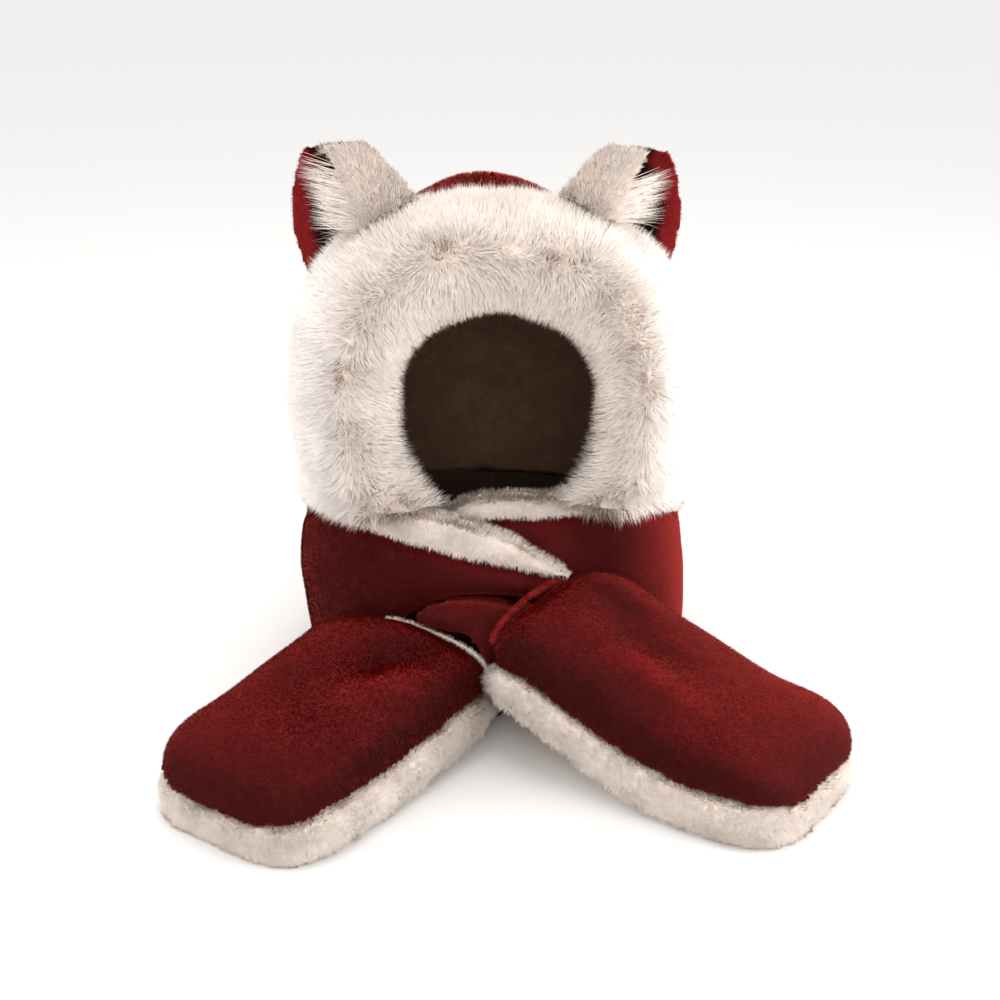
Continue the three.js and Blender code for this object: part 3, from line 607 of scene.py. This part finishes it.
# %% [markdown]
# ## Growing the pile
# Every hair starts at a random spot on the cloth, so big faces get as many per area as small ones.
# It leans from the cloth's normal towards the lay, the way the fur was brushed.
# Hairs stick together in locks: each tip moves up the slope of a wave field, so tips gather
# on its ridges. A hair is a flat ribbon that tapers to a point, or one long triangle for plush.
# Its shading normals are mostly the cloth's, which makes the whole pile catch light like fur.

# %% Sow the roots
def sow(piece, count, shows, seed):
    """count spots on a piece's triangles, picked by area among those that shows() keeps.
    Inside a triangle a spot is 1-sqrt(a), sqrt(a)(1-b), sqrt(a)b of its corners."""
    chance = np.random.default_rng(seed)
    mesh = piece.data
    mesh.calc_loop_triangles()
    corner = np.empty(len(mesh.loop_triangles) * 3, np.int32)
    mesh.loop_triangles.foreach_get("vertices", corner)
    corner = corner.reshape(-1, 3)
    points, normals = points_of(mesh)
    a, b, c = (points[corner[:, i]] for i in range(3))
    area = np.linalg.norm(np.cross(b - a, c - a), axis=1) / 2
    kept = area * shows((a + b + c) / 3, unit(normals[corner].sum(1)))
    picked = chance.choice(len(corner), count, p=kept / kept.sum())
    split, other = np.sqrt(chance.random(count)), chance.random(count)
    share = np.column_stack([1 - split, split * (1 - other), split * other])
    places = (points[corner[picked]] * share[:, :, None]).sum(1)
    facing = unit((normals[corner[picked]] * share[:, :, None]).sum(1))
    return places, facing, chance, kept.sum() / count


# %% Keep hairs out of the pieces beside them
def free_of(places, facing, node_names, room):
    """True for each root whose hair, up to room above the cloth, is outside the named solids.
    A point is inside a solid if the first face above it is met from behind."""
    free = np.ones(len(places), bool)
    tips = places + facing * room
    up = Vector((0.05, 0.08, 1)).normalized()
    for name in node_names:
        solid = merged(name, "probe")
        tree = BVHTree.FromPolygons([v.co for v in solid.data.vertices],
                                    [p.vertices for p in solid.data.polygons])
        bpy.data.objects.remove(solid)
        low, high = corners(name)
        near = ((tips > low) & (tips < high)).all(1)
        for index in np.flatnonzero(near & free):
            _, normal, _, _ = tree.ray_cast(Vector(tips[index]), up)
            free[index] = normal is None or normal.dot(up) < 0
    return free


# %% Build the ribbons
def ribbons(name, path, width, facing, twist, painted_shading, chance, material, soft):
    """One mesh of tapered ribbons. path is an array of hairs by joints by 3: pairs of points
    stand width apart at each joint but the last, which is the single tip."""
    count, joints = path.shape[:2]
    run = unit(path[:, -1] - path[:, 0])
    side = unit(np.cross(run, facing))
    cos, sin = np.cos(twist)[:, None], np.sin(twist)[:, None]
    side = side * cos + np.cross(run, side) * sin
    taper = 1 - (np.arange(joints - 1) / (joints - 1)) ** 1.6
    half = side[:, None] * (width[:, None] * taper / 2)[:, :, None]
    left, right = path[:, :-1] - half, path[:, :-1] + half
    pairs = np.stack([left, right], 2).reshape(count, -1, 3)
    places = np.concatenate([pairs, path[:, -1:]], 1)
    each = 2 * joints - 1
    faces = [[2 * j, 2 * j + 1, 2 * j + 2] for j in range(joints - 1)]
    faces += [[2 * j + 1, 2 * j + 3, 2 * j + 2] for j in range(joints - 2)]
    faces = np.array(faces)
    corner = (faces[None] + np.arange(count)[:, None, None] * each).reshape(-1, 3)
    mesh = bpy.data.meshes.new(name)
    mesh.from_pydata(places.reshape(-1, 3), [], corner)
    level = np.append(np.repeat(np.arange(joints - 1), 2), joints - 1) / (joints - 1)
    own = chance.random(count)
    strand = np.stack([np.repeat(own[:, None], each, 1), np.tile(level, (count, 1))], 2)
    layer = mesh.uv_layers.new(name="strand")
    layer.data.foreach_set("uv", strand.reshape(-1, 2)[corner.ravel()].ravel())
    value = mesh.attributes.new("painted_shading", "FLOAT", "POINT")
    value.data.foreach_set("value", np.repeat(painted_shading, each).astype(np.float32))
    flat = unit(np.cross(side, run))
    flat *= np.sign((flat * facing).sum(1))[:, None]
    shade = unit(facing * soft + flat * (1 - soft))
    mesh.shade_smooth()
    mesh.normals_split_custom_set_from_vertices(np.repeat(shade, each, 0))
    mesh.materials.append(material)
    piece = bpy.data.objects.new(name, mesh)
    bpy.context.scene.collection.objects.link(piece)
    return piece


# %% Grow a pile on a piece
def pile(name, base, slot, material, count, shows, lay, length, width, lean=0.6, joints=3,
         lock=0.3, lock_size=0.02, stray=0.15, near=(), painted_shading=None, soft=0.75, seed=1):
    """Hairs of length (or length(points)) and width in metres, leaning by lean towards
    lay(points, normals), with tips drawn lock times their length into locks."""
    places, facing, chance, patch = sow(base, count, shows, seed)
    long = length(places) if callable(length) else np.full(count, length)
    long = long * chance.uniform(0.75, 1.15, count)
    if near:
        kept = free_of(places, facing, near, 0.003)
        places, facing, long = places[kept], facing[kept], long[kept]
        count = len(places)
    flow = lay(places, facing)
    flow = flow - facing * (flow * facing).sum(1)[:, None]
    _, slope = waves(places, lock_size, seed + 50)
    _, fine = waves(places, lock_size * 0.4, seed + 90)
    slope = slope + fine * 0.6
    slope = slope - facing * (slope * facing).sum(1)[:, None]
    strays = chance.normal(size=(count, 3)) * stray
    start = unit(facing + flow * lean * 0.5 + strays * 0.5)
    end = unit(facing * (1 - lean * 0.55) + flow * lean + slope * lock + strays)
    step = np.linspace(0, 1, joints)[None, :, None]
    reach = long[:, None, None]
    path = places[:, None] + reach * (start[:, None] * (step - step ** 2 / 2)
                                      + end[:, None] * step ** 2 / 2)
    path[:, :, 2] = np.maximum(path[:, :, 2], 0.0006)
    values = np.zeros(count) if painted_shading is None else painted_shading(places, facing)
    piece = ribbons(name, path, width * chance.uniform(0.75, 1.25, count), facing,
                    chance.uniform(-0.45, 0.45, count), values, chance, material, soft)
    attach(piece, "root")
    print(name, count, "hairs,", len(piece.data.polygons), "triangles,",
          round(patch * 1e6, 2), "mm2 each")
    return piece


# %% [markdown]
# ## The long fur of the ring
# The ring's fur parts along a crest. Inside it the hairs run to the face and hang over its edge,
# outside it they run outwards and back. At the crest they stand up. The sides are painted paler,
# as painted light from the sides.

# %% Comb the ring
def ring_lay(points, normals):
    """Towards the face inside the crest, outwards and back outside it, and a little down.
    On the crest itself the locks fall to either side, along the ring."""
    away, reach = from_face(points)
    reach = reach + waves(points, 0.06, 61)[0] * 0.07
    part = (smooth(reach, 0.66, 1.26) * 2 - 1)[:, None]
    lay = away * part * np.where(part < 0, 1.0, 0.45)
    along = np.column_stack([-away[:, 2], np.zeros(len(away)), away[:, 0]])
    lay += along * (1 - np.abs(part)) * waves(points, 0.055, 62)[0][:, None] * 1.4
    lay[:, 1] += 0.75 * np.clip(part[:, 0], 0, 1)
    lay[:, 2] -= 0.3
    return lay


def ring_length(points):
    """8 mm at the edge of the face, 13 mm at the crest and beyond."""
    _, reach = from_face(points)
    return 0.008 + 0.005 * smooth(reach, 0.6, 0.95)


def ring_painted_light(points, normals):
    """Painted light: pale on the sides, outside the crest, as lit from the sides."""
    _, reach = from_face(points)
    sides = smooth(np.abs(points[:, 0] - FACE[0]), 0.085, 0.125)
    return np.clip(sides * smooth(reach, 0.8, 1.1), 0, 1)


ring_near = ["left_ear_front", "right_ear_front", "neck_trim_left", "neck_trim_right",
             "neck_panel_left", "neck_panel_right", "hood_crown"]
pile("ring_fur", ring, "cream_fur", cream_hair, 64500, ring_shows, ring_lay, ring_length,
     0.0007, lean=0.75, lock=0.14, lock_size=0.03, stray=0.13, near=ring_near,
     painted_shading=ring_painted_light, soft=0.95, seed=2)
pile("ring_guard_hair", ring, "cream_fur", cream_hair, 22000, ring_shows, ring_lay,
     lambda points: ring_length(points) * 1.2, 0.0004, lean=0.7, lock=0.2,
     lock_size=0.03, stray=0.22, near=ring_near, painted_shading=ring_painted_light, soft=0.9, seed=3)

# %% [markdown]
# ## The ears
# Each ear is a cup of two leaves that opens to the side. The fur of the front leaf fans out from
# the ear's foot, and its longest hairs hang over the hollow, painted dark as painted shade.
# The back leaf is plush.

# %% Comb the ears
EAR_FEET = {"left": np.array([-0.052, 0.325]), "right": np.array([0.026, 0.335])}


def fan(side):
    """The lay of an ear: away from its foot, seen from the front."""
    def lay(points, normals):
        away = np.zeros_like(points)
        away[:, 0] = points[:, 0] - EAR_FEET[side][0]
        away[:, 2] = points[:, 2] - EAR_FEET[side][1]
        return unit(away)
    return lay


def rim_only(side):
    """True near the outer rim of the front leaf, where the guard hairs grow."""
    outwards = -1 if side == "left" else 1

    low, high = corners(side + "_ear_front")
    top = low[2] + 0.8 * (high[2] - low[2])

    def shows(points, normals):
        edge = (normals[:, 0] * outwards > 0.45) & (normals[:, 1] < 0.8)
        return edge & (points[:, 2] < top)
    return shows


def front_of_leaf(side):
    """The fur leaf's front, and the top 20 mm of its rear, which shows over the plush leaf."""
    top = corners(side + "_ear_front")[1][2] - 0.02
    return lambda points, normals: (normals[:, 1] < 0.5) | (points[:, 2] > top)


def hollow_painted_shade(side):
    """Painted shade: the plush is painted dark in the hollow, from 9 to 17 mm behind the red rim.
    """
    outwards = -1 if side == "left" else 1
    places, facing = points_of(ears[side, "back"].data)
    rim = places[facing[:, 0] * outwards > 0.8][::3]

    def painted_shading(points, normals):
        gap = np.array([np.linalg.norm(rim - point, axis=1).min() for point in points])
        return smooth(gap, 0.009, 0.017) * (normals[:, 1] < 0.35)
    return painted_shading


def paint_shading_on(piece, painted_shading):
    """Puts painted light and shade on each point of a cloth, which its material darkens as painted
    shade.
    """
    value = piece.data.attributes.new("painted_shading", "FLOAT", "POINT")
    value.data.foreach_set("value", painted_shading(*points_of(piece.data)).astype(np.float32))


for side in ("left", "right"):
    sideways = np.array([-2.0 if side == "left" else 2.0, 0.5, -0.1])
    paint_shading_on(ears[side, "back"], hollow_painted_shade(side))
    pile(side + "_ear_fur", ears[side, "front"], "cream_fur", ear_hair_painted_shade, 9000,
         front_of_leaf(side), fan(side), 0.008, 0.0006, lean=0.7, lock=0.25, lock_size=0.012,
         stray=0.18, soft=0.9, seed=4)
    pile(side + "_ear_guard_hair", ears[side, "front"], "cream_fur", cream_hair, 2200,
         rim_only(side), lambda points, normals: fan(side)(points, normals) + sideways,
         0.034, 0.00035, lean=0.9, joints=4, lock=0.2, stray=0.25, soft=0.8, seed=5)
    pile(side + "_ear_pile", ears[side, "back"], "red_plush", red_hair, 12000,
         lambda points, normals: np.ones(len(points), bool), fan(side), 0.0022, 0.0005,
         lean=0.5, joints=2, painted_shading=hollow_painted_shade(side), stray=0.15, soft=0.97, seed=6)

# %% [markdown]
# ## The short red plush
# Plush is cut to one length, so its surface is even, and only its lay and its patches show.
# On the hood it was brushed down, on the panels sideways, on the pockets towards their tips.
# Painted light and shade darken it on walls, on slopes to the front, in the valleys of folds and
# on the tails, and lighten it on slopes to the back, on ridges and on the panels' right flank.
# They come from the cloth's own direction and folds, so they are the same from every side.

# %% Comb the plush
def down(points, normals):
    """Straight down, as brushed on the hood."""
    lay = np.zeros_like(points)
    lay[:, 2] = -1
    return lay


def around(points, normals):
    """Level round the neck, and a little down."""
    out = from_neck(points)
    return np.column_stack([-out[:, 1], out[:, 0], np.full(len(points), -0.8)])


def to_tip(side):
    """Along a pocket to its tip, and a little down its sides."""
    ahead = POCKETS[side]["ahead"]
    outwards = from_pocket(side)

    def lay(points, normals):
        found = outwards(points) * 0.5
        found[:, :2] += ahead
        found[:, 2] = -0.3
        return found
    return lay


def slope_painted_shading(points, normals):
    """Painted light and shade: plush is painted darker on walls and on slopes to the front, and
    brighter on slopes to the back, as under light from above and behind. A level top has 0.27."""
    fall = 0.5 * (1 - normals[:, 2]) - 0.8 * normals[:, 1]
    return 0.62 * smooth(fall, -0.6, 0.7)


def fold_painted_shading(side):
    """The same painted light and shade on a pocket, with valleys painted dark as painted shade
    and ridges painted bright as painted highlight: 1 mm of a valley's depth counts like a slope
    of 0.06, and 1 mm of a ridge's height like 0.12."""
    def painted_shading(points, normals):
        depth = fold_depth(side, points)
        fall = 0.5 * (1 - normals[:, 2]) - 0.8 * normals[:, 1]
        fall += depth * np.where(depth < 0, 0.12, 0.06)
        return 0.82 * smooth(fall, -0.55, 0.9)
    return painted_shading


def flank_painted_shading(points, normals):
    """Painted light and shade on the panels: their right flank is painted bright, as painted
    light from the right, and their front and left flank dark, as painted shade."""
    return 0.78 * smooth(-normals[:, 1] - 0.35 * normals[:, 0], -0.5, 1.2)


def tail_painted_shadow(points, normals):
    """Painted shadow: the tails are painted dark, as the shadow of the pockets and the panels."""
    return 0.4 + 0.5 * slope_painted_shading(points, normals)


PLUSH = {"lean": 0.85, "joints": 2, "lock": 0.06, "lock_size": 0.02, "soft": 1.0,
         "stray": 0.14}
# Painted light and shade on the cloth under the plush, as on the plush itself.
paint_shading_on(crown, slope_painted_shading)
for side in ("left", "right"):
    paint_shading_on(panels[side], flank_painted_shading)
    paint_shading_on(domes[side], fold_painted_shading(side))
    paint_shading_on(tails[side], tail_painted_shadow)
pile("crown_pile", crown, "red_plush", red_hair, 70000, towards(from_head, 0.15), down,
     0.0024, 0.0006, near=["face_ruff"], painted_shading=slope_painted_shading, seed=7, **PLUSH)
tail_hairs = {"left": 16000, "right": 3000}
panel_near = {
    "left": ["neck_trim_left", "neck_trim_right", "left_pocket_shell", "right_pocket_shell"],
    "right": ["neck_panel_left", "neck_trim_left", "neck_trim_right", "left_tail"],
}
for side in ("left", "right"):
    pile("neck_pile_" + side, panels[side], "red_plush", red_hair, 56000, neck_side, around,
         0.0024, 0.0006, near=panel_near[side], painted_shading=flank_painted_shading, seed=8, **PLUSH)
    pile(side + "_pocket_pile", domes[side], "red_plush", red_hair, 84000, dome_side[side],
         to_tip(side), 0.0023, 0.0005, painted_shading=fold_painted_shading(side), seed=9, **PLUSH)
    pile(side + "_tail_pile", tails[side], "red_plush", red_hair, tail_hairs[side],
         lambda points, normals: normals[:, 2] > -0.7, around, 0.0024, 0.0006,
         near=["left_pocket_shell", "right_pocket_shell", "neck_panel_left"],
         painted_shading=tail_painted_shadow, seed=10, **PLUSH)

# %% [markdown]
# ## The fleece of the pads and the trims
# The cream edge of the pockets is a fur cut to 4.5 mm and a shade darker. It hangs straight.

# %% Comb the fleece
def outwards(points, normals):
    """Down, with locks that turn a little here and there."""
    lay = waves(points, 0.03, 71)[1] * 0.3
    lay[:, 2] -= 0.8
    return lay


def not_under(points, normals):
    """Everything but what faces the floor."""
    return (normals[:, 2] > -0.75) & (points[:, 2] > 0.001)


for side in ("left", "right"):
    pile(side + "_pocket_fleece_pile", pads[side], "cream_fur", fleece_hair, 46000,
         pad_side(side), outwards, 0.0045, 0.0006, lean=0.75, joints=2, lock=0.06,
         lock_size=0.02, stray=0.15, soft=1.0, near=[side + "_pocket_shell"], seed=12)
    pile("trim_fur_" + side, trims[side], "cream_fur", cream_hair, 17000,
         not_under, outwards, 0.0045, 0.0007, lean=0.75, joints=2, lock=0.08,
         lock_size=0.02, stray=0.14, soft=1.0, near=["face_ruff"], seed=13)
    pile(side + "_pocket_cord_pile", cords[side], edging[side][0], edging[side][2], 1500,
         not_under, outwards, 0.0022, 0.0005, lean=0.5, joints=2, seed=14)

# %% [markdown]
# ## Floor, light and camera
# The hood stands on a pale floor under soft light from all around. A large lamp above and one in
# front lift the folds. The lamp on the right is the stronger of the two at the sides, because
# the right flank is the brighter one. The camera looks down by 22 degrees from 1.27 m.

# %% Build the floor
floor_mesh = bpy.data.meshes.new("studio_floor")
floor_reach = 30.0
floor_corners = floor_reach * np.array([[-1, -1, 0], [1, -1, 0], [1, 1, 0], [-1, 1, 0]])
floor_mesh.from_pydata(floor_corners, [], [[0, 1, 2, 3]])
floor = bpy.data.objects.new("studio_floor", floor_mesh)
bpy.context.scene.collection.objects.link(floor)
paper, paper_tree = blank("studio_paper_white")
paper_shader = add(paper_tree, "ShaderNodeBsdfPrincipled", {
    "Base Color": linear("#f0eeec"), "Roughness": 0.9})
add(paper_tree, "ShaderNodeOutputMaterial", {"Surface": (paper_shader, "BSDF")})
floor_mesh.materials.append(paper)

# %% Place the lamps and the camera
def lamp(name, place, size, power, colour="#ffffff"):
    """A square area lamp that looks at the hood's middle."""
    data = bpy.data.lights.new(name, "AREA")
    data.size = size
    data.energy = power
    data.color = linear(colour)[:3]
    found = bpy.data.objects.new(name, data)
    bpy.context.scene.collection.objects.link(found)
    found.location = place
    aim = Vector((0, 0, 0.15)) - Vector(place)
    found.rotation_euler = aim.to_track_quat("-Z", "Y").to_euler()
    return found


lamp("top_softbox", (-0.1, 0.1, 1.6), 1.1, 8, "#fffdfb")
lamp("front_softbox", (0.1, -1.9, 0.9), 1.2, 11, "#fffdfb")
lamp("left_softbox", (-1.3, -0.2, 0.6), 0.9, 4)
lamp("right_softbox", (1.3, -0.3, 0.5), 0.9, 12)
world = bpy.data.worlds.new("studio")
world.use_nodes = True
world.node_tree.nodes["Background"].inputs[0].default_value = linear("#ffffff")
world.node_tree.nodes["Background"].inputs[1].default_value = 1.0
bpy.context.scene.world = world
bpy.context.scene.view_settings.view_transform = "Standard"

eye = bpy.data.cameras.new("photo_camera")
eye.lens = 58.4
eye.sensor_width = 36
camera = bpy.data.objects.new("photo_camera", eye)
bpy.context.scene.collection.objects.link(camera)
camera.location = (NECK[0] + 0.0047, NECK[1] - 1.1729, 0.5949)
camera.rotation_euler = (math.radians(68), 0, 0)
bpy.context.scene.camera = camera
print("camera:", np.round(camera.location, 4))
